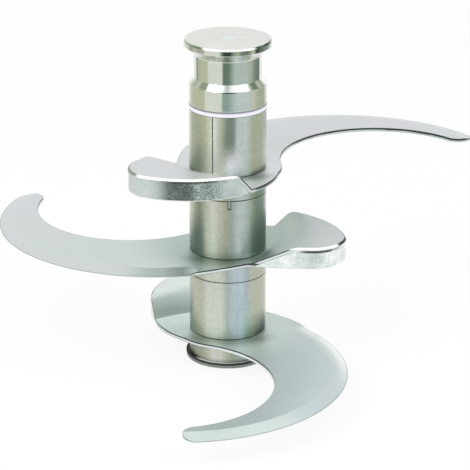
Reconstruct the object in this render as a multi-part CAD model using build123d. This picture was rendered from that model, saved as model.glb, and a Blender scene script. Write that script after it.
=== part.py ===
"""Three-knife cutter for a vertical cutter mixer: a stacked hub carrying three balanced sickle knives.

Millimetres. The hub axis is +Z and the foot of the hub stands at z = 0.
"""
import math
import os

from build123d import *

# Hub and stack, from the foot upwards
hub_diameter = 50.0
hub_edge_chamfer = 0.35
flange_diameter = 54.6
flange_height = 2.0
seal_overhang = 0.3
seal_height = 1.2
collar_height = 13.6
sheet_thickness = 2.5
sleeve_height = 40.0
washer_height = 3.1
washer_stand_out = 0.1

# How far a cut runs past the faces it opens
cut_overrun = 1.0

# Core shaft, its fits and its spindle bore
core_diameter = 34.0
sliding_clearance = 0.05
clamp_gap = 1.5
thread_diameter = 30.0
thread_length = 25.0
thread_chamfer = 1.0
spindle_bore_diameter = 24.0
spindle_bore_depth = 150.0
spindle_keyway_width = 6.0
spindle_keyway_depth = 2.5
spindle_keyway_bearing = 90.0

# Feather key that turns the stack with the core
key_width = 6.0
key_seat_depth = 2.5
key_stand = 2.2
key_end_margin = 5.0
key_top_clearance = 0.2
key_bearing = -90.0
key_screw_diameter = 3.0
key_screw_head_diameter = 5.0
key_screw_head_height = 1.1
key_screw_bite = 2.0
key_screw_inset = 20.0

# Rivets that hold each knife to its collar, ground flush
rivet_count = 3
rivet_diameter = 4.0
rivet_first_bearing = 90.0

# Clamp cap, turned from one bar with a lifting neck
cap_skirt_height = 13.5
cap_shoulder_height = 3.8
cap_neck_diameter = 43.2
cap_neck_height = 15.0
cap_flare_height = 5.7
cap_rim_diameter = 56.0
cap_rim_height = 4.2
cap_rim_rounding = 1.3
cap_flare_lip = 0.5
cap_edge_break = 0.3
cap_centre_dimple_diameter = 2.4
cap_centre_dimple_depth = 0.8
cap_thread_run_out = 2.0

# Sickle blade, in plan
cutting_arc_radius = 108.2
cutting_arc_centre = (-45.0, 60.0)
cutting_arc_root_bearing = -76.5
cutting_arc_tip_bearing = 156.3
back_arc_ratio = 0.6054
back_arc_bearing = 128.9
back_arc_tip_bearing = 163.1
ring_diameter = 70.0
ring_shoulder_bearing = 100.0
tip_setback = 7.0
tip_bearing = 152.1
tip_rounding = 2.5

# What grinding by hand has taken off each cutting arc
grinding_loss = {"lower": 2.4, "middle": 0.0, "upper": 1.0}

# Ground bevel along the cutting arc
bevel_width = 10.5
bevel_edge_thickness = 0.35
bevel_root_bearing = -81.2
bevel_run_out = 4.5
bevel_tip_overrun = 10.0

# Raised tab that carries the counterweight, in plan
neck_back_crown = (13.5, 39.2)
neck_front_crown = (-4.8, -39.4)
tab_neck_front = (12.0, -31.4)
tab_front_crown = (36.0, -35.4)
tab_front_corner = (56.5, -37.2)
tab_corner_crown = (69.8, -30.4)
tab_outer_corner = (76.4, -17.0)
tab_outer_crown = (66.0, 14.0)
tab_back_corner = (43.8, 34.4)
tab_neck_back = (29.6, 38.0)
tab_corner_rounding = 2.0
tab_edge_rounding = 1.7

# Ramp between the ring and the tab, cut at three stations across the knife
tab_rise = 12.2
ramp_stations = (-42.0, 0.0, 42.0)
ramp_foot = (7.0, 28.0, 31.8)
ramp_head = (38.5, 49.5, 40.5)
ramp_foot_radius = (8.0, 5.0, 4.0)
ramp_head_radius = (22.0, 18.0, 6.0)

# Counterweight under the tab
weight_inset = 0.35
weight_toe_setback = 2.5
weight_foot_rounding = 1.0

# Index marks on the stack
lug_bearing = 33.8
lug_width = 1.5
lug_height = 5.3
lug_depth = 2.4
lug_clearance = 0.45
scribe_bearing = -112.8
scribe_width = 0.7
scribe_depth = 0.45

# Knife bearings about the hub, seen from above
# A third of a turn apart, but for the degree or so that each keyway is cut off its mark
knife_bearings = {"lower": 120.0, "middle": 1.2, "upper": -121.5}

# Sizes that follow from the ones above
hub_radius = hub_diameter / 2
core_radius = core_diameter / 2
stack_bore_radius = core_radius + sliding_clearance
ring_radius = ring_diameter / 2
back_arc_radius = cutting_arc_radius * back_arc_ratio
stack_start = flange_height + seal_height
station_pitch = collar_height + sheet_thickness + sleeve_height
station_level = {
    "lower": stack_start,
    "middle": stack_start + station_pitch,
    "upper": stack_start + 2 * station_pitch,
}
washer_level = stack_start + 3 * station_pitch
cap_level = washer_level + washer_height
core_shoulder_level = washer_level - clamp_gap
keyway_reach = core_radius + key_stand + key_top_clearance
rivet_pitch_radius = (stack_bore_radius + hub_radius) / 2
ramp_base = -2 * sheet_thickness
ramp_start = 0.0
ramp_end = tab_outer_corner[0] + sheet_thickness


def polar(radius, bearing, centre=(0.0, 0.0)):
    """Plan point at a radius and bearing from a centre."""
    angle = math.radians(bearing)
    return (centre[0] + radius * math.cos(angle), centre[1] + radius * math.sin(angle))


def turned(*profile):
    """Solid of revolution about the hub axis from (radius, height) points."""
    outline = Polyline(*[(r, 0, z) for r, z in profile], close=True)
    return revolve(make_face(outline), axis=Axis.Z, revolution_arc=360)


def ring_between(inner_radius, outer_radius, low, high):
    """Plain turned ring."""
    return turned((inner_radius, low), (outer_radius, low), (outer_radius, high), (inner_radius, high))


def hub_ring(low, height):
    """Turned hub ring with broken outer edges, bored to slide on the core."""
    edge = hub_edge_chamfer
    high = low + height
    return turned(
        (stack_bore_radius, low),
        (hub_radius - edge, low),
        (hub_radius, low + edge),
        (hub_radius, high - edge),
        (hub_radius - edge, high),
        (stack_bore_radius, high),
    )


def radial_bar(bearing, inner, outer, width, low, high):
    """Straight bar that stands out from the hub axis along a bearing."""
    bar = Box(outer - inner, width, high - low, align=(Align.MIN, Align.CENTER, Align.MIN))
    return Pos(0, 0, low) * Rot(0, 0, bearing) * Pos(inner, 0, 0) * bar


def key_slot(low, high):
    """Keyway cut through one member of the stack, between its two faces."""
    width = key_width + 2 * sliding_clearance
    return radial_bar(key_bearing, 0, keyway_reach, width, low - cut_overrun, high + cut_overrun)


# Knife


def tab_edges():
    """Plan edges of the counterweight tab, from its back neck round to its front neck."""
    return (
        Line(tab_neck_back, tab_back_corner)
        + ThreePointArc(tab_back_corner, tab_outer_crown, tab_outer_corner)
        + ThreePointArc(tab_outer_corner, tab_corner_crown, tab_front_corner)
        + ThreePointArc(tab_front_corner, tab_front_crown, tab_neck_front)
    )


def rounded(face, corners, radius):
    """Face with the named plan corners rounded."""
    picked = [v for v in face.vertices() if any(near(v, corner) for corner in corners)]
    return fillet(picked, radius)


def near(vertex, point):
    """True where a vertex lies at a plan point."""
    return math.hypot(vertex.X - point[0], vertex.Y - point[1]) < 0.01


def blade_plan(name):
    """Plan of the ring and the sickle blade, closed by a straight line between the tab's necks."""
    radius = cutting_arc_radius - grinding_loss[name]
    back_centre = polar(back_arc_radius + ring_radius, back_arc_bearing)
    root = polar(radius, cutting_arc_root_bearing, cutting_arc_centre)
    belly = polar(radius, (cutting_arc_root_bearing + cutting_arc_tip_bearing - 360) / 2, cutting_arc_centre)
    tip_front = polar(radius, cutting_arc_tip_bearing, cutting_arc_centre)
    tip_crown = polar(cutting_arc_radius - tip_setback, tip_bearing, cutting_arc_centre)
    tip_back = polar(back_arc_radius, back_arc_tip_bearing, back_centre)
    back_middle = polar(back_arc_radius, (back_arc_tip_bearing + back_arc_bearing + 180) / 2, back_centre)
    ring_start = polar(ring_radius, back_arc_bearing)
    ring_middle = polar(ring_radius, (back_arc_bearing + ring_shoulder_bearing) / 2)
    ring_end = polar(ring_radius, ring_shoulder_bearing)
    outline = (
        ThreePointArc(root, belly, tip_front)
        + ThreePointArc(tip_front, tip_crown, tip_back)
        + ThreePointArc(tip_back, back_middle, ring_start)
        + ThreePointArc(ring_start, ring_middle, ring_end)
        + ThreePointArc(ring_end, neck_back_crown, tab_neck_back)
        + Line(tab_neck_back, tab_neck_front)
        + ThreePointArc(tab_neck_front, neck_front_crown, root)
    )
    return rounded(make_face(outline), [tip_front, tip_back], tip_rounding)


def tab_plan():
    """Plan of the tab alone, closed by a straight line between its necks."""
    face = make_face(tab_edges() + Line(tab_neck_front, tab_neck_back))
    return rounded(face, [tab_back_corner], tab_corner_rounding)


def ramp_profile(station, depth):
    """Section across the ramp at one station, a depth below the sheet's top face."""
    run = ramp_head[station] - ramp_foot[station]
    shift = depth * math.tan(math.atan2(tab_rise, run) / 2)
    foot = ramp_foot[station] + shift
    head = ramp_head[station] + shift
    radii = [ramp_foot_radius[station] + depth, ramp_head_radius[station] + sheet_thickness - depth]
    top = FilletPolyline(
        (ramp_start, -depth),
        (foot, -depth),
        (head, tab_rise - depth),
        (ramp_end, tab_rise - depth),
        radius=radii,
    )
    below = Polyline(top @ 1, (ramp_end, ramp_base), (ramp_start, ramp_base), top @ 0)
    plane = Plane((0, ramp_stations[station], 0), x_dir=(1, 0, 0), z_dir=(0, -1, 0))
    return plane * make_face(top + below)


def ramp_body(depth):
    """Body under one face of the bent sheet, a depth below its top face."""
    return loft([ramp_profile(station, depth) for station in range(len(ramp_stations))])


def knife_sheet(name):
    """Bent and ground knife in its own frame, with the ring's top face at z = 0."""
    low = Pos(0, 0, -sheet_thickness)
    blade = low * extrude(blade_plan(name), sheet_thickness) - bevel_cut(name)
    tab = low * extrude(tab_plan(), sheet_thickness + tab_rise)
    tab = fillet([e for e in tab.edges() if is_tab_rim(e)], tab_edge_rounding)
    bent_sheet = ramp_body(0) - ramp_body(sheet_thickness)
    return blade + (tab & bent_sheet)


def is_tab_rim(edge):
    """True for the top outer edges of the raised tab."""
    middle = edge @ 0.5
    return abs(middle.Z - tab_rise) < 0.01 and middle.X > tab_neck_back[0]


def bevel_section(name, depth):
    """Section of the ground-off waste across the cutting arc, of a given depth at the edge."""
    radius = cutting_arc_radius - grinding_loss[name]
    inner = radius - bevel_width
    outer = radius + bevel_width
    outline = Polyline(
        (inner, 0, 0),
        (outer, 0, -2 * depth),
        (outer, 0, bevel_width),
        (inner, 0, bevel_width),
        close=True,
    )
    return make_face(outline)


def bevel_cut(name):
    """Waste ground off the top face along the cutting arc: it runs out towards the hub."""
    full = bevel_section(name, sheet_thickness - bevel_edge_thickness)
    sweep = 360 + bevel_root_bearing - cutting_arc_tip_bearing + bevel_tip_overrun
    waste = revolve(full, axis=Axis.Z, revolution_arc=sweep)
    root = Rot(0, 0, sweep)
    end = Rot(0, 0, sweep + bevel_run_out)
    waste += loft([root * full, end * bevel_section(name, 0)])
    turn = cutting_arc_tip_bearing - bevel_tip_overrun
    return Pos(*cutting_arc_centre, 0) * Rot(0, 0, turn) * waste


def at_station(name, shape):
    """Shape of a knife's own frame, turned and raised to its place on the hub."""
    level = station_level[name] + collar_height + sheet_thickness
    return Pos(0, 0, level) * Rot(0, 0, knife_bearings[name]) * shape


def knife(name):
    """Knife in place, with its bore, keyway and rivet holes."""
    low = station_level[name] + collar_height
    high = low + sheet_thickness
    bore = Pos(0, 0, (low + high) / 2) * Cylinder(stack_bore_radius, sheet_thickness + 2 * cut_overrun)
    return at_station(name, knife_sheet(name)) - bore - key_slot(low, high) - rivets(name)


def counterweight():
    """Cast counterweight in the knife's own frame: it fills the space below the raised tab."""
    low = Pos(0, 0, -sheet_thickness)
    height = sheet_thickness + tab_rise
    block = low * extrude(offset(tab_plan(), -weight_inset), height)
    block = fillet([e for e in block.edges() if is_weight_foot(e)], weight_foot_rounding)
    toe = [(x + weight_toe_setback, y) for x, y in zip(ramp_foot, ramp_stations)]
    beyond = Polyline(toe[2], (ramp_end, toe[2][1]), (ramp_end, toe[0][1]), toe[0])
    return block & ramp_body(sheet_thickness) & low * extrude(make_face(ThreePointArc(*toe) + beyond), height)


def is_weight_foot(edge):
    """True for the outer bottom edges of the counterweight."""
    middle = edge @ 0.5
    return abs(middle.Z + sheet_thickness) < 0.01 and middle.X > tab_neck_front[0]


# Stack members


def rivets(name):
    """Rivets through a knife and its collar, ground flush with both."""
    low = station_level[name]
    length = collar_height + sheet_thickness
    rivet = Cylinder(rivet_diameter / 2, length, align=(Align.CENTER, Align.CENTER, Align.MIN))
    first = knife_bearings[name] + rivet_first_bearing
    bearings = [first + 360 / rivet_count * i for i in range(rivet_count)]
    return Compound([Pos(0, 0, low) * Rot(0, 0, b) * Pos(rivet_pitch_radius, 0, 0) * rivet for b in bearings])


def index_lug(name, clearance):
    """Lug under a collar, or the notch that takes it, at the collar's bottom face."""
    level = station_level[name]
    inner = hub_radius - lug_depth - clearance
    outer = hub_radius + cut_overrun
    width = lug_width + 2 * clearance
    bearing = knife_bearings[name] + lug_bearing
    bar = radial_bar(bearing, inner, outer, width, level - lug_height - clearance, level)
    if clearance:
        return bar
    return bar & Cylinder(hub_radius, 4 * level, align=(Align.CENTER, Align.CENTER, Align.MIN))


def collar(name):
    """Collar riveted under a knife: it carries the knife's torque to the key."""
    low = station_level[name]
    body = hub_ring(low, collar_height) - key_slot(low, low + collar_height)
    if name != "lower":
        body += index_lug(name, 0)
    return body - rivets(name)


def sleeve(name):
    """Spacer sleeve above a knife."""
    low = station_level[name] + collar_height + sheet_thickness
    high = low + sleeve_height
    body = hub_ring(low, sleeve_height) - key_slot(low, high)
    above = {"lower": "middle", "middle": "upper"}
    if name in above:
        return body - index_lug(above[name], lug_clearance)
    inner = hub_radius - scribe_depth
    outer = hub_radius + cut_overrun
    start = low - cut_overrun
    end = high + cut_overrun
    return body - radial_bar(scribe_bearing, inner, outer, scribe_width, start, end)


def core_shaft():
    """Flanged core with a blind spindle bore and a threaded top."""
    bore = spindle_bore_diameter / 2
    thread = thread_diameter / 2
    top = core_shoulder_level + thread_length
    body = turned(
        (bore, 0),
        (flange_diameter / 2, 0),
        (flange_diameter / 2, flange_height),
        (core_radius, flange_height),
        (core_radius, core_shoulder_level),
        (thread, core_shoulder_level),
        (thread, top - thread_chamfer),
        (thread - thread_chamfer, top),
        (0, top),
        (0, spindle_bore_depth),
        (bore, spindle_bore_depth),
    )
    reach = bore + spindle_keyway_depth
    width = spindle_keyway_width
    body -= radial_bar(spindle_keyway_bearing, 0, reach, width, -cut_overrun, spindle_bore_depth)
    low, high = key_span()
    seat = core_radius - key_seat_depth
    body -= radial_bar(key_bearing, seat, core_radius + cut_overrun, key_width, low, high)
    return body - key_screws()


def key_span():
    """Lowest and highest point of the feather key."""
    return stack_start + key_end_margin, core_shoulder_level - key_end_margin


def feather_key():
    """Long key screwed into the core."""
    low, high = key_span()
    bar = radial_bar(key_bearing, core_radius - key_seat_depth, core_radius + key_stand, key_width, low, high)
    return bar - key_screws()


def key_screws():
    """Countersunk screws that hold the feather key."""
    top = core_radius + key_stand
    seat = core_radius - key_seat_depth
    shank = key_screw_diameter / 2
    head = key_screw_head_diameter / 2
    screw = turned(
        (0, seat - key_screw_bite),
        (shank, seat - key_screw_bite),
        (shank, top - key_screw_head_height),
        (head, top),
        (0, top),
    )
    low, high = key_span()
    levels = (low + key_screw_inset, high - key_screw_inset)
    return Compound([Pos(0, 0, z) * Rot(0, 0, key_bearing) * Rot(0, 90, 0) * screw for z in levels])


def clamp_cap():
    """Turned cap nut: threaded skirt, lifting neck and wide rim."""
    edge = cap_edge_break
    neck = cap_neck_diameter / 2
    rim = cap_rim_diameter / 2
    bore = thread_diameter / 2 + sliding_clearance
    bottom = cap_level
    shoulder = bottom + cap_skirt_height
    neck_low = shoulder + cap_shoulder_height
    neck_high = neck_low + cap_neck_height
    rim_low = neck_high + cap_flare_height
    top = rim_low + cap_rim_height
    bore_top = core_shoulder_level + thread_length + cap_thread_run_out
    dimple = cap_centre_dimple_diameter / 2
    body = turned(
        (bore, bottom),
        (hub_radius - edge, bottom),
        (hub_radius, bottom + edge),
        (hub_radius, shoulder),
        (neck, neck_low),
        (neck, neck_high),
        (rim - cap_flare_lip, rim_low),
        (rim, rim_low),
        (rim, top),
        (dimple, top),
        (0, top - cap_centre_dimple_depth),
        (0, bore_top),
        (bore, bore_top),
    )
    rim_edge = [e for e in body.edges() if near(e @ 0, (rim, 0)) and abs((e @ 0).Z - top) < 0.01]
    return fillet(rim_edge, cap_rim_rounding)


def cap_washer():
    """White plastic washer under the cap."""
    inner = thread_diameter / 2 + sliding_clearance
    return ring_between(inner, hub_radius + washer_stand_out, washer_level, cap_level)


def base_seal():
    """Black rubber seal ring on the core's flange."""
    outer = flange_diameter / 2 + seal_overhang
    return ring_between(stack_bore_radius, outer, flange_height, stack_start)


def main():
    """Write one STEP file for each piece."""
    pieces = {
        "clamp_cap": clamp_cap(),
        "cap_washer": cap_washer(),
        "core_shaft": core_shaft(),
        "feather_key": feather_key(),
        "key_screws": key_screws(),
        "base_seal": base_seal(),
    }
    for name in station_level:
        pieces[name + "_collar"] = collar(name)
        pieces[name + "_rivets"] = rivets(name)
        pieces[name + "_knife"] = knife(name)
        pieces[name + "_counterweight"] = at_station(name, counterweight())
        pieces[name + "_sleeve"] = sleeve(name)
    os.makedirs("parts", exist_ok=True)
    for node, shape in pieces.items():
        export_step(shape, "parts/" + node + ".step")


main()
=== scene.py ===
"""Looks of the three-knife food processor blade: steel finishes, plain pale studio and camera.

Metres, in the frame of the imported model. The hub axis is +Z and the foot stands on the floor at z = 0.
A span is a (from, to) pair over which a tone comes in or goes out.
"""
import math

import bpy
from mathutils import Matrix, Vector


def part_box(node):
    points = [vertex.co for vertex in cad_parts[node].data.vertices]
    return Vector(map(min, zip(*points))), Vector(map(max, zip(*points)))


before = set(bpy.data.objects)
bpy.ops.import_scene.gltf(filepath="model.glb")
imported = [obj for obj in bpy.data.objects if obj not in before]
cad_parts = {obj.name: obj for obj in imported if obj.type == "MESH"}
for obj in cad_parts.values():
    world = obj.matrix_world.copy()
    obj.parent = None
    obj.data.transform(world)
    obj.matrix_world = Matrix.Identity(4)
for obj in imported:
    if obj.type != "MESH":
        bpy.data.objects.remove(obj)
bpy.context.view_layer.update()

# Camera, fitted to the photograph
camera_place = (0.0, -1.435, 0.6224)
camera_pitch = 20.59
camera_focal_pixels = 2343.0
picture_pixels = 470
picture_centre = 234.5
axis_pixel = 227.3
sensor_width = 36.0

# Studio
floor_half_width = 6.0
floor_tone = (0.93, 0.935, 0.93, 1.0)
floor_whitening = 0.88
white_light = (1.0, 1.0, 1.0, 1.0)
world_strength = 0.72
lamp_size = 1.2
lamp_target = (0.0, 0.0, 0.1)
key_lamp_place = (-1.1, -0.9, 1.5)
key_lamp_power = 16.0
fill_lamp_place = (1.3, -0.6, 1.2)
fill_lamp_power = 9.0

# Values that most of a noise falls between: for tones, and for roughness
tone_span = (0.35, 0.65)
polish_span = (0.3, 0.7)

# Degrees in a full turn, in which bearings round the hub are given
full_circle = 360

# Half the width over which a crisp line fades
crisp = 0.0001

# Textures: fineness and sharpness of each noise, and how it is stretched along the axes
turning_rings = {"scale": 1700.0, "detail": 3.0, "roughness": 0.7, "stretch": (0.02, 0.02, 1.0)}
hub_drift = {"scale": 34.0, "stretch": (1.0, 1.0, 0.4)}
hub_grain = {"scale": 1100.0, "roughness": 0.7, "stretch": (1.0, 1.0, 0.3)}
cap_drift = {"scale": 60.0, "stretch": (1.0, 1.0, 0.6)}
cap_grain = {"scale": 900.0, "roughness": 0.6}
cap_cloud = {"scale": 140.0, "detail": 3.0}
cast_specks = {"scale": 1300.0, "detail": 3.0, "roughness": 0.7}
cast_streaks = {"scale": 1300.0, "detail": 3.0, "roughness": 0.8, "stretch": (0.8, 0.8, 1.2)}
cast_cloud = {"scale": 120.0, "detail": 3.0}
knife_cloud = {"scale": 26.0, "detail": 3.0}
knife_grain = {"scale": 800.0, "detail": 3.0, "roughness": 0.6}
edge_wander = {"scale": 40.0, "detail": 3.0}
inner_grain = {"scale": 500.0, "detail": 3.0, "roughness": 0.6, "stretch": (1.0, 1.0, 0.1)}
washer_cloud = {"scale": 120.0, "detail": 3.0}
seal_grain = {"scale": 400.0, "detail": 3.0}


# Shader maths


class Signal:
    """A number, place or colour that comes out of a node. Python's operators on numbers add Math nodes."""

    def __init__(self, tree, socket):
        self.tree = tree
        self.socket = socket

    def math(self, operation, *others):
        """Math node with this number first."""
        return self.tree.node("ShaderNodeMath", {"operation": operation}, (self, *others))

    def math_after(self, operation, other):
        """Math node with this number second."""
        return self.tree.node("ShaderNodeMath", {"operation": operation}, (other, self))

    def __add__(self, other):
        return self.math("ADD", other)

    __radd__ = __add__

    def __sub__(self, other):
        return self.math("SUBTRACT", other)

    def __rsub__(self, other):
        return self.math_after("SUBTRACT", other)

    def __mul__(self, other):
        return self.math("MULTIPLY", other)

    __rmul__ = __mul__

    def __truediv__(self, other):
        return self.math("DIVIDE", other)

    def __rtruediv__(self, other):
        return self.math_after("DIVIDE", other)


class Tree:
    """A tree of nodes, and the one method that makes them."""

    def __init__(self, tree):
        self.nodes = tree.nodes
        self.links = tree.links

    def node(self, kind, settings=None, inputs=(), output=0):
        """A node of any kind: its settings are set first, then its sockets by number or name."""
        made = self.nodes.new(kind)
        for name, value in (settings or {}).items():
            if name == "stops":
                self.set_stops(made.color_ramp, value)
            else:
                setattr(made, name, value)
        pairs = inputs.items() if isinstance(inputs, dict) else enumerate(inputs)
        for key, value in pairs:
            self.feed(made.inputs[key], value)
        return Signal(self, made.outputs[output])

    def feed(self, socket, value):
        """A link for what comes from a node, or a plain value."""
        if isinstance(value, Signal):
            self.links.new(value.socket, socket)
        else:
            socket.default_value = value

    def set_stops(self, ramp, stops):
        """Colour stops as (place, colour) pairs."""
        while len(ramp.elements) < len(stops):
            ramp.elements.new(1.0)
        for element, (place, colour) in zip(ramp.elements, stops):
            element.position = place
            element.color = rgba(colour)

    def seen(self):
        """1 for the camera and for reflections, 0 for the light that falls on the object."""
        camera_ray = self.node("ShaderNodeLightPath", output="Is Camera Ray")
        return camera_ray.math("MAXIMUM", self.node("ShaderNodeLightPath", output="Is Glossy Ray"))


class Finish(Tree):
    """One material: its shader, and the numbers and colours that the finishes share."""

    def __init__(self, name):
        self.material = bpy.data.materials.new(name)
        self.material.use_nodes = True
        super().__init__(self.material.node_tree)
        self.shader = self.nodes["Principled BSDF"]

    def set(self, **sockets):
        """Sets or links the shader's sockets, with _ for a space in a name."""
        for name, value in sockets.items():
            self.feed(self.shader.inputs[name.replace("_", " ").title()], value)

    # Places

    def place(self):
        """Position on the object, in metres."""
        return self.node("ShaderNodeNewGeometry", output="Position")

    def facing(self):
        """Direction that the face looks in."""
        return self.node("ShaderNodeNewGeometry", output="Normal")

    def split(self, vector, axis):
        """One coordinate of a vector."""
        return self.node("ShaderNodeSeparateXYZ", inputs=(vector,), output=axis)

    def height(self):
        """Height above the floor."""
        return self.split(self.place(), "Z")

    def upward(self):
        """How far a face looks up: 1 on top faces, 0 on upright ones, -1 on those that look down."""
        return self.split(self.facing(), "Z")

    def stretched(self, scale):
        """Position stretched along each axis."""
        return self.node("ShaderNodeVectorMath", {"operation": "MULTIPLY"}, (self.place(), scale))

    def turned(self, vector, angle):
        """Vector turned about the hub axis."""
        inputs = {"Vector": vector, "Angle": angle}
        return self.node("ShaderNodeVectorRotate", {"rotation_type": "Z_AXIS"}, inputs)

    def bearing(self):
        """Bearing about the hub axis as a share of a full turn, 0 at -X and rising past -Y."""
        place = self.place()
        turn = self.split(place, "Y").math("ARCTAN2", self.split(place, "X"))
        return turn / (2 * math.pi) + 0.5

    def reach(self):
        """Distance from the hub axis."""
        flat = self.stretched((1.0, 1.0, 0.0))
        return self.node("ShaderNodeVectorMath", {"operation": "LENGTH"}, (flat,), output="Value")

    # Masks

    def remap(self, value, low, high, new_low=0.0, new_high=1.0):
        """Value moved smoothly from one range to another, and held at its ends."""
        settings = {"interpolation_type": "SMOOTHSTEP"}
        return self.node("ShaderNodeMapRange", settings, (value, low, high, new_low, new_high))

    def rising(self, value, span, most=1.0):
        """0 before a span and the most after it."""
        return self.remap(value, *span, 0.0, most)

    def falling(self, value, span, most=1.0):
        """The most before a span and 0 after it."""
        return self.remap(value, *span, most, 0.0)

    def above(self, value, level, softness=crisp):
        """0 below a level and 1 above it."""
        return self.rising(value, (level - softness, level + softness))

    def below(self, value, level, softness=crisp):
        """1 below a level and 0 above it."""
        return self.falling(value, (level - softness, level + softness))

    def within(self, value, low, high, softness=crisp):
        """1 between two levels and 0 outside them."""
        return self.above(value, low, softness) * self.below(value, high, softness)

    # Textures and colours

    def noise(self, scale, detail=2.0, roughness=0.5, stretch=None):
        """Soft noise from 0 to 1."""
        vector = self.stretched(stretch) if stretch else self.place()
        inputs = {"Vector": vector, "Scale": scale, "Detail": detail, "Roughness": roughness}
        return self.node("ShaderNodeTexNoise", inputs=inputs)

    def wave(self, noise, size):
        """Soft uneven offset, as far below 0 as above it, so that a tone doesn't end in a straight line."""
        return (noise - 0.5) * size

    def shared(self, first, share, second):
        """Two noises added: the first by its share, and the second by the rest."""
        return first * share + second * (1 - share)

    def bump(self, height, distance, strength=1.0):
        """Normal raised by a height."""
        inputs = {"Height": height, "Distance": distance, "Strength": strength}
        return self.node("ShaderNodeBump", inputs=inputs)

    def ramp(self, value, *stops):
        """Colour ramp of (place, colour) stops."""
        return self.node("ShaderNodeValToRGB", {"stops": stops}, (value,))

    def bands(self, bearing, front):
        """Painted reflections as upright bands round the hub: the given ones in front, and the plainer back.
        """
        stops = [(degrees / full_circle, colour) for degrees, colour in front + BACK_BANDS]
        return self.ramp(bearing, *stops)

    def mix(self, factor, first, second):
        """Mix of two colours."""
        inputs = {0: factor, 6: colour_of(first), 7: colour_of(second)}
        return self.node("ShaderNodeMix", {"data_type": "RGBA"}, inputs, output=2)

    def scaled(self, colour, share):
        """Colour made lighter or darker."""
        return self.node("ShaderNodeVectorMath", {"operation": "SCALE"}, {0: colour, "Scale": share})


def rgba(colour):
    """Colour with its alpha."""
    return (*colour, 1.0) if len(colour) == 3 else colour


def colour_of(value):
    """Plain colours get their alpha and links stay as they are."""
    return value if isinstance(value, Signal) else rgba(value)


def shade(red, green, blue):
    """Colour as the eye reads it, from 0 to 255, turned by the sRGB curve to linear values for nodes."""
    return tuple(((c / 255 + 0.055) / 1.055) ** 2.4 if c > 10 else c / 3294 for c in (red, green, blue))


# Colours as the eye reads them: for the finishes, and for the painted reflections, highlights and shade on
# them

GLINT = shade(250, 252, 248)
FROST = shade(226, 233, 230)
BONE = shade(221, 224, 215)
PALE = shade(206, 211, 199)
STRAW = shade(186, 190, 172)
OLIVE = shade(162, 169, 147)
MOSS = shade(140, 149, 129)
FERN = shade(119, 136, 123)
DUSK = shade(104, 121, 107)
PINE = shade(98, 119, 104)
SHADOW = shade(54, 61, 57)
# Painted shade of the dark line along the top of a cut edge
EDGE_SHADE = shade(58, 60, 66)
BLUE_GREY = shade(183, 193, 190)
ICE = shade(170, 183, 184)
LICHEN = shade(170, 184, 176)
SKY_GREY = shade(193, 207, 212)
MARSH = shade(154, 168, 160)
HAY = shade(178, 183, 155)
MIST = shade(208, 211, 213)
SAGE = shade(196, 206, 202)
SEA_GREEN = shade(138, 159, 149)
TEAL = shade(100, 124, 115)
SEA_GREY = shade(191, 203, 204)
# Painted light for the lower knife's ramp, which stands in shade
RAMP_GREEN = shade(242, 255, 251)
CAP_TOP = shade(222, 223, 218)
WASHER_DULL = shade(231, 229, 239)
WASHER_BRIGHT = shade(242, 241, 249)
WASHER_LINE = shade(130, 133, 142)
RUBBER_BLACK = shade(16, 19, 17)
RUBBER_GREY = shade(36, 40, 37)

# Painted reflections: upright bands round the hub as (bearing in degrees, colour), from -X past the front
# to +X. The back's go on from there to -X again

BACK_BANDS = (
    (200, PALE), (225, OLIVE), (250, STRAW), (272, FERN), (292, BLUE_GREY), (320, OLIVE), (345, PALE),
    (360, GLINT),
)
UPPER_SLEEVE_TOP = (
    (0, GLINT), (14, PALE), (26, OLIVE), (45, OLIVE), (57, HAY), (70, PALE), (83, OLIVE), (89, FERN),
    (98, FERN), (104, BLUE_GREY), (118, BLUE_GREY), (130, OLIVE), (150, OLIVE), (168, BLUE_GREY),
    (180, GLINT),
)
UPPER_SLEEVE_FOOT = (
    (0, PALE), (12, OLIVE), (23, MOSS), (42, MOSS), (50, OLIVE), (58, STRAW), (68, PALE), (76, PALE),
    (84, PALE), (92, FROST), (104, MIST), (116, BLUE_GREY), (130, OLIVE), (152, OLIVE), (170, PALE),
    (180, MIST),
)
MIDDLE_SLEEVE_TOP = (
    (0, GLINT), (14, PALE), (24, STRAW), (34, OLIVE), (44, MOSS), (57, STRAW), (67, PALE), (78, STRAW),
    (88, OLIVE), (95, MARSH), (105, BLUE_GREY), (113, BLUE_GREY), (120, LICHEN), (130, MOSS), (137, FERN),
    (156, FERN), (170, PALE), (180, GLINT),
)
MIDDLE_SLEEVE_FOOT = (
    (0, OLIVE), (12, FERN), (22, FERN), (38, DUSK), (48, FERN), (56, STRAW), (67, PALE), (76, STRAW),
    (86, OLIVE), (95, MARSH), (105, BLUE_GREY), (113, ICE), (121, LICHEN), (130, FERN), (140, DUSK),
    (160, DUSK), (172, FERN), (180, BLUE_GREY),
)
LOWER_SLEEVE_TOP = (
    (0, BLUE_GREY), (20, STRAW), (36, STRAW), (48, STRAW), (57, PALE), (78, PALE), (90, LICHEN),
    (100, SKY_GREY), (110, SKY_GREY), (119, ICE), (128, STRAW), (158, STRAW), (170, PALE), (180, GLINT),
)
LOWER_SLEEVE_FOOT = (
    (0, FERN), (12, DUSK), (20, MOSS), (34, OLIVE), (48, STRAW), (58, PALE), (80, PALE), (90, LICHEN),
    (100, SKY_GREY), (110, SKY_GREY), (119, SEA_GREEN), (130, FERN), (142, DUSK), (160, SHADOW), (174, ICE),
    (180, PALE),
)
LOWER_COLLAR_BANDS = (
    (0, OLIVE), (20, DUSK), (38, OLIVE), (48, OLIVE), (58, STRAW), (66, PALE), (78, PALE), (96, OLIVE),
    (115, ICE), (150, OLIVE), (180, PALE),
)
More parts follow.
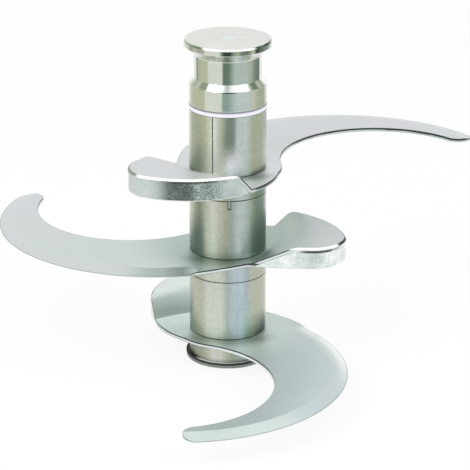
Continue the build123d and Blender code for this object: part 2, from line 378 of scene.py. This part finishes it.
SKIRT_BANDS = (
    (0, FROST), (14, FROST), (20, STRAW), (30, HAY), (53, HAY), (56, PALE), (80, PALE), (83, SEA_GREEN),
    (91, SEA_GREEN), (98, LICHEN), (105, BLUE_GREY), (122, BLUE_GREY), (132, STRAW), (141, OLIVE),
    (156, OLIVE), (168, BONE), (180, BONE),
)
SHOULDER_BANDS = (
    (0, GLINT), (16, PALE), (25, OLIVE), (38, STRAW), (45, MOSS), (55, MOSS), (58, FROST), (82, FROST),
    (89, BLUE_GREY), (98, GLINT), (110, GLINT), (119, FROST), (124, OLIVE), (130, DUSK), (139, DUSK),
    (145, STRAW), (154, MOSS), (166, GLINT), (180, GLINT),
)
NECK_BANDS = (
    (0, BONE), (20, BONE), (25, DUSK), (30, OLIVE), (42, HAY), (53, HAY), (56, PALE), (80, PALE), (82, PINE),
    (91, PINE), (102, LICHEN), (124, LICHEN), (134, OLIVE), (141, FERN), (149, PINE), (155, SHADOW),
    (159, BONE), (180, BONE),
)
FLARE_BANDS = (
    (0, GLINT), (22, GLINT), (34, FROST), (52, PALE), (66, FROST), (80, PALE), (88, STRAW), (94, PALE),
    (103, GLINT), (112, GLINT), (124, PALE), (131, GLINT), (146, GLINT), (180, GLINT),
)
RIM_BANDS = (
    (0, PALE), (24, PALE), (34, MOSS), (42, STRAW), (48, OLIVE), (56, OLIVE), (60, PALE), (79, PALE),
    (82, DUSK), (86, SHADOW), (93, SHADOW), (97, FERN), (103, OLIVE), (109, DUSK), (118, DUSK), (125, STRAW),
    (130, SHADOW), (142, DUSK), (154, MOSS), (166, PALE), (180, PALE),
)
RIM_CREST_BANDS = (
    (0, PALE), (22, OLIVE), (34, MOSS), (47, DUSK), (54, MOSS), (58, GLINT), (120, GLINT), (127, STRAW),
    (132, SHADOW), (142, DUSK), (149, SHADOW), (158, SHADOW), (166, MOSS), (180, PALE),
)

# Sleeves and collars

# Painted shade in the grooves of the hub's outside, and a painted shade line at each end of a sleeve or
# collar
hub_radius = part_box("middle_sleeve")[1].x
groove_reach = (hub_radius - 0.0004, hub_radius - 0.00008)
groove_dark = 0.85
end_line_foot = 0.0004
end_line_top = 0.0003
end_line_softness = 0.00012
end_line_dark = 0.65

# How far the painted reflection bands waver, as a share of a turn and in metres up the hub; how dark and
# bright wear makes them, and the rings' share in it; then the polish
band_waver = 0.012
hub_wear = (0.88, 1.08)
hub_ring_share = 0.45
turned_metallic = 0.9
turned_streak = {"anisotropic": 0.5, "anisotropic_rotation": 0.25}
hub_ring_height = 0.00004
sleeve_roughness = 0.3
collar_roughness = 0.32
ring_roughness = 0.08

# How far up each sleeve its lower bands change to its upper ones, as spans of its height
sleeve_blend = {"lower": (0.05, 0.5), "middle": (0.3, 0.85), "upper": (0.15, 0.62)}
collar_blend = (0.0, 1.0)

# Painted shade in patches at the foot of the sleeves: from and to round the hub in degrees, then their
# height, strength, softness at the sides as a share of a turn, and unevenness in height
sleeve_foot_shade = {"lower": ((136, 170),), "middle": ((8, 30),), "upper": ((10, 30), (127, 167))}
foot_shade_height = 0.0048
foot_shade_dark = 0.8
foot_shade_softness = 0.02
foot_shade_waver = 0.004


def turned_steel(name, piece, top, foot, blend, foot_shades, roughness):
    """Turned stainless steel: painted reflection bands that change from foot to top, fine rings and grain,
    and painted shade.
    """
    steel = Finish(name)
    low, high = (corner.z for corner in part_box(piece))
    height = steel.height()
    drift = steel.noise(**hub_drift)
    waver = steel.wave(drift, band_waver)
    bearing = steel.bearing() + waver
    rise = steel.rising((height + waver - low) / (high - low), blend)
    # Painted reflections: the bands by bearing, from the foot's set to the top's
    banded = steel.mix(rise, steel.bands(bearing, foot), steel.bands(bearing, top))
    rings = steel.noise(**turning_rings)
    worn = steel.shared(rings, hub_ring_share, steel.noise(**hub_grain))
    colour = steel.scaled(banded, steel.remap(worn, *tone_span, *hub_wear))
    # Painted shade in the grooves, where the surface sinks below the hub's outside
    colour = steel.mix(steel.falling(steel.reach(), groove_reach, groove_dark), colour, SHADOW)
    # Painted shade in dark patches at the sleeve's foot
    for start, end in foot_shades:
        foot_shade = steel.within(bearing, start / full_circle, end / full_circle, foot_shade_softness)
        uneven_height = height + steel.wave(drift, foot_shade_waver)
        foot_shade = foot_shade * steel.falling(uneven_height, (low, low + foot_shade_height), foot_shade_dark)
        colour = steel.mix(foot_shade, colour, SHADOW)
    # Painted shade lines at the two ends, where the next parts meet this one
    ends = 1 - steel.within(height, low + end_line_foot, high - end_line_top, end_line_softness)
    colour = steel.mix(ends * end_line_dark, colour, SHADOW)
    steel.set(base_color=colour, metallic=turned_metallic, **turned_streak)
    steel.set(roughness=steel.remap(rings, *polish_span, roughness, roughness + ring_roughness))
    steel.set(normal=steel.bump(rings, hub_ring_height))
    return steel.material


def sleeve_steel(station, top, foot):
    """Spacer sleeve."""
    name = "brushed " + station + " sleeve steel"
    blend = sleeve_blend[station]
    return turned_steel(name, station + "_sleeve", top, foot, blend, sleeve_foot_shade[station], sleeve_roughness)


def collar_steel(station, bands):
    """Collar under a knife, with the same bands from foot to top."""
    name = "turned " + station + " collar steel"
    return turned_steel(name, station + "_collar", bands, bands, collar_blend, (), collar_roughness)


# Clamp cap: heights of its zones from the top down, then its painted shade and highlight lines, wear and
# polish. The neck's and rim's
# lines are given by their heights from the edge that they follow, and the skirt's from the cap's foot

cap_rim_height = 0.0042
cap_crest_height = 0.0013
cap_flare_height = 0.0057
cap_neck_height = 0.015
cap_shoulder_height = 0.0038
cap_waver = 0.005
shoulder_line_height = 0.0007
shoulder_line_sides = (82, 102)
shoulder_line_softness = 0.012
neck_line = (-0.0004, 0.0002)
neck_line_glint = 0.5
rim_line = (-0.0007, 0.0001)
rim_line_glint = 0.8
skirt_pale_rise = (0.0006, 0.0014)
skirt_pale = 0.5
skirt_dark_rise = (0.0002, 0.0005)
skirt_dark = 0.7
cap_wear = (0.90, 1.06)
cap_ring_share = 0.6
cap_top_upward = (0.93, 0.99)
centre_dimple_reach = (0.0013, 0.0016)
centre_glow_reach = (0.0015, 0.006)
centre_glow = 0.9
cap_top_clouds = (0.97, 1.02)
cap_roughness = (0.26, 0.42)
cap_ring_height = 0.00003


def cap_bands(steel, top, foot):
    """The cap's crisp painted reflection bands, different on skirt, shoulder, neck, flare and rim, and its
    painted lines.
    """
    rim_foot = top - cap_rim_height
    neck_top = rim_foot - cap_flare_height
    neck_foot = neck_top - cap_neck_height
    skirt_top = neck_foot - cap_shoulder_height
    zones = (
        (skirt_top, SHOULDER_BANDS), (neck_foot, NECK_BANDS), (neck_top, FLARE_BANDS), (rim_foot, RIM_BANDS),
        (top - cap_crest_height, RIM_CREST_BANDS),
    )
    height = steel.height()
    bearing = steel.bearing() + steel.wave(steel.noise(**cap_drift), cap_waver)
    # Painted reflections: the crisp bands of each zone
    colour = steel.bands(bearing, SKIRT_BANDS)
    for level, bands in zones:
        colour = steel.mix(steel.above(height, level), colour, steel.bands(bearing, bands))
    # Painted shade line below the shoulder, across the front
    line = steel.within(height, skirt_top - shoulder_line_height, skirt_top)
    start, end = (side / full_circle for side in shoulder_line_sides)
    line = line * steel.within(bearing, start, end, shoulder_line_softness)
    colour = steel.mix(line, colour, SHADOW)
    # Painted highlight lines below the neck's top and at the rim's foot
    neck_light = steel.within(height, *[neck_top + step for step in neck_line]) * neck_line_glint
    colour = steel.mix(neck_light, colour, GLINT)
    rim_light = steel.within(height, *[rim_foot + step for step in rim_line]) * rim_line_glint
    colour = steel.mix(rim_light, colour, GLINT)
    # Painted highlight just above the cap's foot, and painted shade at the foot itself, where the washer
    # meets it
    colour = steel.mix(steel.falling(height - foot, skirt_pale_rise, skirt_pale), colour, MIST)
    return steel.mix(steel.falling(height - foot, skirt_dark_rise, skirt_dark), colour, SHADOW)


def cap_steel():
    """Clamp cap: painted reflection bands, and a plain matt top with a small dimple in its middle."""
    steel = Finish("turned cap steel")
    foot, top = (corner.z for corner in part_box("clamp_cap"))
    rings = steel.noise(**turning_rings)
    worn = steel.shared(rings, cap_ring_share, steel.noise(**cap_grain))
    banded = steel.scaled(cap_bands(steel, top, foot), steel.remap(worn, *tone_span, *cap_wear))
    face = steel.rising(steel.upward(), cap_top_upward)
    face = face.math("MAXIMUM", steel.falling(steel.reach(), centre_dimple_reach))
    glow = steel.falling(steel.reach(), centre_glow_reach, centre_glow)
    clouds = steel.remap(steel.noise(**cap_cloud), *tone_span, *cap_top_clouds)
    matt = steel.scaled(steel.mix(glow, CAP_TOP, FROST), clouds)
    steel.set(base_color=steel.mix(face, banded, matt), metallic=turned_metallic, **turned_streak)
    steel.set(roughness=steel.remap(face, 0.0, 1.0, *cap_roughness))
    steel.set(normal=steel.bump(rings, cap_ring_height))
    return steel.material


# Cast counterweights: dull, usual and bright specks, darker on the upper one as painted shade, and the tones
# of the painted shade's streaked part

cast_tones = {
    "lower": (SAGE, FROST, GLINT), "middle": (SAGE, FROST, GLINT), "upper": (BLUE_GREY, SAGE, MIST),
}
speck_levels = (0.38, 0.48, 0.60)
speck_share = 0.6
streak_stops = ((0.40, SHADOW), (0.46, TEAL), (0.53, SEA_GREEN), (0.62, SAGE))
streak_share = 0.85

# Painted shade on part of each cast wall: from and to across the picture, and strength. One stretch of it is
# deepest
cast_shade = {"lower": (-0.03, 0.0, 0.3), "middle": (0.051, 0.062, 0.35), "upper": (-0.043, -0.002, 0.9)}
cast_shade_softness = 0.009
cast_shade_waver = 0.012
deepest_cast = (-0.041, -0.022)
deepest_cast_softness = 0.005
deepest_cast_step = 0.12

# Painted shade line below each tab's rim: from and to across the picture, strength, its start and end down
# from the top, and its softness across and in height
rim_shade = {"lower": (-0.03, 0.0, 0.3), "middle": (0.047, 0.069, 0.9), "upper": (-0.036, -0.006, 0.85)}
rim_shade_start = 0.0016
rim_shade_end = {"lower": 0.0026, "middle": 0.0036, "upper": 0.0027}
rim_shade_softness = (0.004, 0.0003)
rim_shade_waver = 0.01

# Polish, the painted highlight on the foot by where its face looks, and the height of the specks
cast_metallic = 0.6
cast_foot_upward = (-0.45, -0.12)
cast_foot_glint = 0.9
cast_roughness = (0.5, 0.36)
cast_speck_height = 0.00006
cast_speck_strength = 0.6


def cast_colour(steel, station):
    """Fine sparkling mottle of the counterweights, with their painted shade and shade line, and the specks
    alone.
    """
    specks = steel.noise(**cast_specks)
    cloud = steel.noise(**cast_cloud)
    mottle = steel.shared(specks, speck_share, cloud)
    light = steel.ramp(mottle, *zip(speck_levels, cast_tones[station]))
    # Painted shade over part of the wall, streaked, and deepest along one stretch
    across = steel.split(steel.place(), "X")
    deep = steel.within(across, *deepest_cast, deepest_cast_softness) * deepest_cast_step
    dark = steel.ramp(steel.shared(steel.noise(**cast_streaks), streak_share, cloud) - deep, *streak_stops)
    start, end, strength = cast_shade[station]
    uneven = across + steel.wave(cloud, cast_shade_waver)
    share = steel.within(uneven, start, end, cast_shade_softness) * strength
    colour = steel.mix(share, light, dark)
    # Painted shade line below the tab's rim
    start, end, strength = rim_shade[station]
    side_softness, height_softness = rim_shade_softness
    tab_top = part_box(station + "_knife")[1].z
    line_low = tab_top - rim_shade_end[station]
    line = steel.within(steel.height(), line_low, tab_top - rim_shade_start, height_softness)
    uneven = across + steel.wave(cloud, rim_shade_waver)
    line = line * steel.within(uneven, start, end, side_softness) * strength
    return steel.mix(line, colour, SHADOW), specks


def cast_steel(station):
    """Counterweight: fine cast mottle, and a painted highlight on its rounded foot."""
    steel = Finish("cast " + station + " counterweight steel")
    colour, specks = cast_colour(steel, station)
    # Painted highlight on the rounded foot, by where its face looks
    foot = steel.falling(steel.upward(), cast_foot_upward, cast_foot_glint)
    steel.set(base_color=steel.mix(foot, colour, GLINT), metallic=cast_metallic)
    steel.set(roughness=steel.remap(specks, *polish_span, *cast_roughness))
    steel.set(normal=steel.bump(specks, cast_speck_height, cast_speck_strength))
    return steel.material


# Knives: bearings in degrees about the hub, and the ground bevel in each knife's own frame, where the tab
# points out along +X and angles along the cutting arc grow from the tip to the root

knife_bearings = {"lower": 120.0, "middle": 1.2, "upper": -121.5}
cutting_arc_centre = (-0.045, 0.06, 0.0)
cutting_arc_radius = 0.1082
grinding_loss = {"lower": 0.0024, "middle": 0.0, "upper": 0.001}
bevel_width = 0.0105
bevel_root = math.radians(98.8)
bevel_run_out = math.radians(4.5)
tab_edge_rounding = 0.0017

# Tones of the top faces, which change as painted light and shade: along the cutting arc, from the hub axis,
# and out towards the tab
blade_tone_arc = (-0.3, 0.9)
blade_tone_waver = 0.3
ring_tone_reach = (0.034, 0.066)
ring_tone_waver = 0.012
ramp_tone_out = (0.008, 0.034)
tab_tone_out = (0.036, 0.062)
tab_tone_waver = 0.02
knife_wear = (0.965, 1.03)

# Shade where the ramp folds up from the ring: heights above the ring, and strength
fold_foot = (0.0002, 0.0007)
fold_head = (0.003, 0.008)
fold_shade = {"lower": 0.22, "middle": 0.15, "upper": 0.0}

# Where each bevel's painted light and shade changes from its tip's tone to its root's, in radians along the
# cutting arc
bevel_blend = {
    "lower": ((-0.1, 0.5), (0.9, 1.5)), "middle": ((1.3, 1.55), (1.55, 1.75)), "upper": (),
}
bevel_tone_waver = 0.15

# Tone beside the bevel: its width, and its two ends along the cutting arc
beside_width = 0.022
beside_start = (0.0, 0.5)
beside_end = (bevel_root - 0.3, bevel_root + 0.1)

# Glance of light on a bevel: strength, insets from the cutting edge as shares of its width, its two ends
# along the cutting arc, and how much of it is left at the root
glance = {"lower": 0.85, "middle": 0.0, "upper": 0.0}
glance_insets = (0.85, 0.15)
glance_start = (0.65, 1.35)
glance_end = (bevel_root - 0.35, bevel_root - 0.05)
glance_left = 0.65

# Painted shade on the front of the ring, from the hub axis, out towards the tab and from front to back, and
# the painted shade line where the sleeve stands on it
ring_dusk = {"lower": 0.75, "middle": 0.9, "upper": 0.95}
ring_dusk_reach = (hub_radius + 0.001, hub_radius + 0.017)
ring_dusk_out = (0.014, 0.03)
ring_front = (-0.024, -0.012)
joint_line_reach = (hub_radius + 0.0002, hub_radius + 0.0006)
joint_line_dark = 0.85

# Painted shade lines where two faces meet: how far round an edge its faces are blended, which faces count as
# upright, how like the blend a face is on a line and off it, and how far up or down the blend leans on a cut
# edge
edge_line_width = 0.0014
edge_line_samples = 8
upright_span = (0.25, 0.5)
outline_likeness = (0.80, 0.95)
outline_dark = 0.75
outline_on_tab = 0.5
top_lean = (0.03, 0.12)
foot_lean = (-0.24, -0.12)
foot_line_out = (-0.04, -0.02)
foot_line_dark = 0.6
tab_side_drop = (0.002, 0.003)

# Where a cut edge turns to the cast wall: out towards the tab, and on the steeper back side of the ramp
wall_out = (0.036, 0.044)
steep_out = (0.026, 0.031)
steep_back = (0.0, 0.01)

# Painted shade line along the top of each flat cut edge: its depth, how that wanders, and its upper end over
# the ring
edge_line_depth = {"lower": 0.0009, "middle": 0.0010, "upper": 0.0014}
edge_line_wander = 1.6
edge_line_least = 0.15
edge_line_top = 0.0003
edge_line_softness = 0.0002

# Painted highlight and shade on the rounded rim of the tab, by where its face looks. The square is just over
# 1, so that nothing is divided by 0
rim_outward = (-0.7, -0.5)
rim_foot_upward = (0.10, 0.2)
rim_head_upward = (0.93, 0.99)
rim_end_sideways = (0.68, 0.82)
unit_square = 1.0001

# Polish, and the height of the grain and its share in each bump
knife_metallic = 0.7
knife_roughness = (0.38, 0.46)
knife_grain_height = 0.00003
knife_grain_share = 0.5


class KnifeSteel(Finish):
    """Satin ground sheet of one knife, and the places that its tones follow. Out is its X, back its Y."""

    def __init__(self, station, tones):
        super().__init__("satin " + station + " knife steel")
        self.station = station
        self.tones = tones
        self.turn = math.radians(-knife_bearings[station])
        self.own = self.turned(self.place(), self.turn)
        self.out = self.split(self.own, "X")
        self.back = self.split(self.own, "Y")
        self.over_ring = self.height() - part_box(station + "_sleeve")[0].z
        self.tab_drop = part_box(station + "_knife")[1].z - self.height()
        self.cloud = self.noise(**knife_cloud)
        self.grain = self.noise(**knife_grain)

    def top_faces(self, along):
        """Blade, ring, ramp and tab, in tones of painted light and shade, with painted shade at the fold."""
        blade_share = self.rising(along + self.wave(self.cloud, blade_tone_waver), blade_tone_arc)
        colour = self.mix(blade_share, self.tones["tip"], self.tones["blade"])
        ring_share = self.falling(self.reach() + self.wave(self.cloud, ring_tone_waver), ring_tone_reach)
        colour = self.mix(ring_share, colour, self.tones["ring"])
        colour = self.mix(self.rising(self.out, ramp_tone_out), colour, self.tones["ramp"])
        tab_share = self.rising(self.out + self.wave(self.cloud, tab_tone_waver), tab_tone_out)
        colour = self.mix(tab_share, colour, self.tones["tab"])
        fold = self.rising(self.over_ring, fold_foot) * self.falling(self.over_ring, fold_head)
        return self.mix(fold * fold_shade[self.station], colour, FERN)

    def bevel_tone(self, along, arc_reach, cutting_reach):
        """The bevel's painted light and shade from tip to root, with its painted glance of light."""
        # Painted light and shade along the bevel, from tip to root
        tone = self.tones["bevel"][0]
        uneven = along + self.wave(self.cloud, bevel_tone_waver)
        for span, next_tone in zip(bevel_blend[self.station], self.tones["bevel"][1:]):
            tone = self.mix(self.rising(uneven, span), tone, next_tone)
        # Painted glance of light across the bevel
        light = self.rising(arc_reach, [cutting_reach - bevel_width * inset for inset in glance_insets])
        light = light * self.rising(along, glance_start) * self.remap(along, *glance_end, 1.0, glance_left)
        return self.mix(light * glance[self.station], tone, GLINT)

    def ground_faces(self):
        """Top faces with the bevel along the cutting arc."""
        subtract = {"operation": "SUBTRACT"}
        from_centre = self.node("ShaderNodeVectorMath", subtract, (self.own, cutting_arc_centre))
        arc_x = self.split(from_centre, "X")
        arc_y = self.split(from_centre, "Y")
        arc_reach = (arc_x * arc_x + arc_y * arc_y).math("SQRT")
        along = (arc_y * -1).math("ARCTAN2", arc_x * -1)
        cutting_reach = cutting_arc_radius - grinding_loss[self.station]
        bevel_start = cutting_reach - bevel_width
        beside = self.rising(arc_reach, (bevel_start - beside_width, bevel_start))
        beside = beside * self.rising(along, beside_start) * self.falling(along, beside_end)
        colour = self.mix(beside, self.top_faces(along), self.tones["blade side"])
        bevel = self.above(arc_reach, bevel_start)
        bevel = bevel * self.falling(along, (bevel_root, bevel_root + bevel_run_out))
        return self.mix(bevel, colour, self.bevel_tone(along, arc_reach, cutting_reach))

    def front_shade(self, colour):
        """Painted shade on the front of the ring, and the painted shade line where the sleeve stands on it.
        """
        in_front = self.falling(self.split(self.place(), "Y"), ring_front)
        dusk = self.falling(self.reach(), ring_dusk_reach, ring_dusk[self.station]) * in_front
        colour = self.mix(dusk * self.falling(self.out, ring_dusk_out), colour, FERN)
        # Painted shade line where the sleeve stands on the ring
        line = self.falling(self.reach(), joint_line_reach, joint_line_dark) * in_front
        return self.mix(line, colour, SHADOW)

    def outlined(self, colour, blurred):
        """Thin painted shade line wherever two faces meet, fainter round the tab's top."""
        both = (blurred, self.facing())
        likeness = self.node("ShaderNodeVectorMath", {"operation": "DOT_PRODUCT"}, both, output="Value")
        # Painted shade line where two faces meet
        line = self.falling(likeness, outline_likeness, outline_dark)
        line = line * self.remap(self.tab_drop, *tab_side_drop, outline_on_tab, 1.0)
        return self.mix(line, colour, FERN)

    def cut_edge(self, lean):
        """Cut edge: painted highlight with a thin painted shade line above, and except on the blade a
        fainter one below.
        """
        # Painted shade line along the top of the edge, of uneven depth
        wander = self.noise(**edge_wander) * edge_line_wander + edge_line_least
        depth = wander * edge_line_depth[self.station]
        flat_line = self.within(self.over_ring, depth * -1, edge_line_top, edge_line_softness)
        top_line = self.rising(lean, top_lean).math("MAXIMUM", flat_line)
        # Painted highlight on the cut edge, under the painted shade line
        edge = self.mix(top_line, self.tones["edge"], EDGE_SHADE)
        # Painted shade line along the foot of the edge
        foot_line = self.falling(lean, foot_lean, foot_line_dark) * self.rising(self.out, foot_line_out)
        return self.mix(foot_line, edge, DUSK)

    def rimmed(self, colour):
        """Rounded rim of the tab: painted highlight towards the front and the back, painted shade at its two
        ends.
        """
        up = self.upward()
        level = (unit_square - up * up).math("SQRT")
        outward = self.split(self.turned(self.facing(), self.turn), "X") / level
        # Painted highlight on the rim, and painted shade at its ends
        rim = self.below(self.tab_drop, tab_edge_rounding) * self.rising(outward, rim_outward)
        rim = rim * self.rising(up, rim_foot_upward) * self.falling(up, rim_head_upward)
        sideways = self.split(self.facing(), "X").math("ABSOLUTE") / level
        rim_tone = self.mix(self.rising(sideways, rim_end_sideways), GLINT, self.tones["rim end"])
        return self.mix(rim, colour, rim_tone)


def knife_steel(station, tones):
    """Satin ground sheet: painted highlight on its cut edges, and cast where its tab is one with the weight.
    """
    steel = KnifeSteel(station, tones)
    colour = steel.front_shade(steel.ground_faces())
    colour = steel.scaled(colour, steel.remap(steel.grain, *tone_span, *knife_wear))
    blurred = steel.node("ShaderNodeBevel", {"samples": edge_line_samples}, {"Radius": edge_line_width})
    lean = steel.split(blurred, "Z")
    colour = steel.outlined(colour, blurred)
    cast, specks = cast_colour(steel, station)
    # Painted shade line along the top of the cast wall, below the tab's top
    on_ramp = steel.rising(steel.tab_drop, tab_side_drop)
    cast = steel.mix(steel.rising(lean, top_lean) * on_ramp, cast, SHADOW)
    steep = steel.rising(steel.out, steep_out) * steel.rising(steel.back, steep_back)
    cast_part = steel.rising(steel.out, wall_out).math("MAXIMUM", steep)
    side = steel.falling(steel.upward().math("ABSOLUTE"), upright_span)
    # Upright faces: the cut edge's painted highlight and shade lines, or the cast wall
    colour = steel.mix(side, colour, steel.mix(cast_part, steel.cut_edge(lean), cast))
    steel.set(base_color=steel.rimmed(colour), metallic=knife_metallic)
    steel.set(roughness=steel.remap(steel.cloud, *polish_span, *knife_roughness))
    relief = steel.shared(steel.grain, knife_grain_share, specks * side)
    steel.set(normal=steel.bump(relief, knife_grain_height))
    return steel.material


# Parts that hardly show, washer and seal: tones, polish, the washer's painted shade lines from its top and
# its foot, and where the seal's painted reflection lies

inner_metallic = 0.9
inner_roughness = (0.3, 0.4)
core_tone = (142, 149, 143)
key_tone = (182, 186, 184)
inner_grain_step = 14
washer_roughness = (0.4, 0.5)
washer_top_line = (0.0009, 0.0006)
washer_top_dark = 0.8
washer_foot_line = (0.0001, 0.0004)
washer_foot_dark = 0.6
seal_roughness = (0.5, 0.62)
reflection_reach = (hub_radius + 0.0016, hub_radius + 0.0020)
reflection_upward = (0.5, 0.9)
reflection_front = (-0.020, -0.014)


def inner_steel(name, tone):
    """Ground steel of the parts that hardly show."""
    steel = Finish(name)
    grain = steel.noise(**inner_grain)
    darker = shade(*[level - inner_grain_step for level in tone])
    steel.set(base_color=steel.mix(steel.rising(grain, tone_span), darker, shade(*tone)))
    steel.set(metallic=inner_metallic, roughness=steel.remap(grain, *polish_span, *inner_roughness))
    return steel.material


def white_plastic():
    """White engineering plastic of the cap washer, with a painted shade line at its top and foot."""
    plastic = Finish("white washer plastic")
    low, high = (corner.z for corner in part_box("cap_washer"))
    cloud = plastic.noise(**washer_cloud)
    height = plastic.height()
    colour = plastic.mix(cloud, WASHER_DULL, WASHER_BRIGHT)
    # Painted shade lines at the top and foot, where the cap and the sleeve meet the washer
    top_line = plastic.rising(height, [high - drop for drop in washer_top_line], washer_top_dark)
    colour = plastic.mix(top_line, colour, WASHER_LINE)
    foot_line = plastic.falling(height, [low + rise for rise in washer_foot_line], washer_foot_dark)
    plastic.set(base_color=plastic.mix(foot_line, colour, WASHER_LINE))
    plastic.set(roughness=plastic.remap(cloud, *polish_span, *washer_roughness))
    return plastic.material


def black_rubber():
    """Black rubber of the base seal, with a painted reflection along the front of its top."""
    rubber = Finish("black seal rubber")
    grain = rubber.noise(**seal_grain)
    # Painted reflection along the front of the seal's top
    seal_reflection = rubber.falling(rubber.reach(), reflection_reach) * rubber.rising(rubber.upward(), reflection_upward)
    seal_reflection = seal_reflection * rubber.falling(rubber.split(rubber.place(), "Y"), reflection_front)
    colour = rubber.mix(grain, RUBBER_BLACK, RUBBER_GREY)
    rubber.set(base_color=rubber.mix(seal_reflection, colour, GLINT))
    rubber.set(roughness=rubber.remap(grain, *polish_span, *seal_roughness))
    return rubber.material


# Camera, floor and light


def make_camera():
    """Camera at the photograph's angle."""
    data = bpy.data.cameras.new("photograph_camera")
    data.sensor_width = sensor_width
    data.lens = camera_focal_pixels * sensor_width / picture_pixels
    data.shift_x = (picture_centre - axis_pixel) / picture_pixels
    camera = bpy.data.objects.new("photograph_camera", data)
    camera.location = camera_place
    camera.rotation_euler = (math.radians(90 - camera_pitch), 0, 0)
    bpy.context.scene.collection.objects.link(camera)
    bpy.context.scene.camera = camera


def floor_material():
    """Pale floor: white to the camera with the object's soft shadow, and clear from below."""
    floor = Finish("pale studio floor")
    floor.nodes.remove(floor.shader)
    diffuse = floor.node("ShaderNodeBsdfDiffuse", inputs={"Color": floor_tone})
    white = floor.node("ShaderNodeEmission", inputs={"Color": white_light, "Strength": 1.0})
    paper = floor.node("ShaderNodeMixShader", inputs=(floor.seen() * floor_whitening, diffuse, white))
    clear = floor.node("ShaderNodeBsdfTransparent")
    below = floor.node("ShaderNodeNewGeometry", output="Backfacing")
    sides = floor.node("ShaderNodeMixShader", inputs=(below, paper, clear))
    floor.feed(floor.nodes["Material Output"].inputs["Surface"], sides)
    return floor.material


def make_floor():
    """Flat floor under the foot."""
    reach = floor_half_width
    mesh = bpy.data.meshes.new("studio_floor")
    corners = [(-reach, -reach, 0), (reach, -reach, 0), (reach, reach, 0), (-reach, reach, 0)]
    mesh.from_pydata(corners, [], [(0, 1, 2, 3)])
    mesh.materials.append(floor_material())
    floor = bpy.data.objects.new("studio_floor", mesh)
    bpy.context.scene.collection.objects.link(floor)


def make_world():
    """White studio: plain white to the camera and to reflections, and a soft level for the light."""
    world = bpy.data.worlds.new("white_studio")
    world.use_nodes = True
    tree = Tree(world.node_tree)
    level = tree.node("ShaderNodeMapRange", inputs={"Value": tree.seen(), "To Min": world_strength})
    background = tree.nodes["Background"]
    tree.feed(background.inputs["Color"], white_light)
    tree.feed(background.inputs["Strength"], level)
    bpy.context.scene.world = world


def make_lamp(name, place, power):
    """Square soft lamp that looks at the object."""
    data = bpy.data.lights.new(name, "AREA")
    data.size = lamp_size
    data.energy = power
    lamp = bpy.data.objects.new(name, data)
    lamp.location = place
    direction = Vector(lamp_target) - Vector(place)
    lamp.rotation_euler = direction.to_track_quat("-Z", "Y").to_euler()
    bpy.context.scene.collection.objects.link(lamp)


# Finishes on the pieces

# Each knife's tones by place: on one steel, their differences from place to place and between the knives are
# largely painted light and shade. The edge tone is the cut edges' painted highlight, the rim end tone the
# rim ends' painted shade
knife_tones = {
    "lower": {
        "tip": SEA_GREY, "blade": SEA_GREY, "blade side": shade(198, 209, 210), "ring": shade(207, 219, 214),
        "ramp": RAMP_GREEN, "tab": FROST, "edge": FROST, "rim end": MOSS,
        "bevel": (shade(220, 231, 227), shade(199, 209, 212), shade(206, 215, 213)),
    },
    "middle": {
        "tip": MIST, "blade": shade(205, 213, 212), "blade side": shade(205, 213, 212),
        "ring": shade(184, 199, 194), "ramp": shade(187, 202, 195), "tab": shade(204, 209, 209),
        "edge": FROST, "rim end": SHADOW,
        "bevel": (shade(206, 212, 212), shade(176, 189, 185), shade(156, 169, 162)),
    },
    "upper": {
        "tip": MIST, "blade": MIST, "blade side": MIST, "ring": shade(214, 219, 220), "ramp": MIST,
        "tab": MIST, "edge": SAGE, "rim end": MOSS, "bevel": (MIST,),
    },
}


def dress(node, material):
    """Gives every material slot of a CAD node one finish."""
    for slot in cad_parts[node].material_slots:
        slot.material = material


def dress_all():
    """Each piece in its own finish. A collar carries on the bands of the sleeve below it."""
    dress("clamp_cap", cap_steel())
    dress("cap_washer", white_plastic())
    dress("core_shaft", inner_steel("ground core steel", core_tone))
    dress("base_seal", black_rubber())
    key = inner_steel("ground key steel", key_tone)
    for node in ("feather_key", "key_screws", "lower_rivets", "middle_rivets", "upper_rivets"):
        dress(node, key)
    dress("upper_sleeve", sleeve_steel("upper", UPPER_SLEEVE_TOP, UPPER_SLEEVE_FOOT))
    dress("middle_sleeve", sleeve_steel("middle", MIDDLE_SLEEVE_TOP, MIDDLE_SLEEVE_FOOT))
    dress("lower_sleeve", sleeve_steel("lower", LOWER_SLEEVE_TOP, LOWER_SLEEVE_FOOT))
    dress("upper_collar", collar_steel("upper", MIDDLE_SLEEVE_TOP))
    dress("middle_collar", collar_steel("middle", LOWER_SLEEVE_TOP))
    dress("lower_collar", collar_steel("lower", LOWER_COLLAR_BANDS))
    for station, tones in knife_tones.items():
        dress(station + "_knife", knife_steel(station, tones))
        dress(station + "_counterweight", cast_steel(station))


make_camera()
make_floor()
make_world()
make_lamp("key_lamp", key_lamp_place, key_lamp_power)
make_lamp("fill_lamp", fill_lamp_place, fill_lamp_power)
dress_all()

bpy.context.scene.view_settings.view_transform = "Standard"
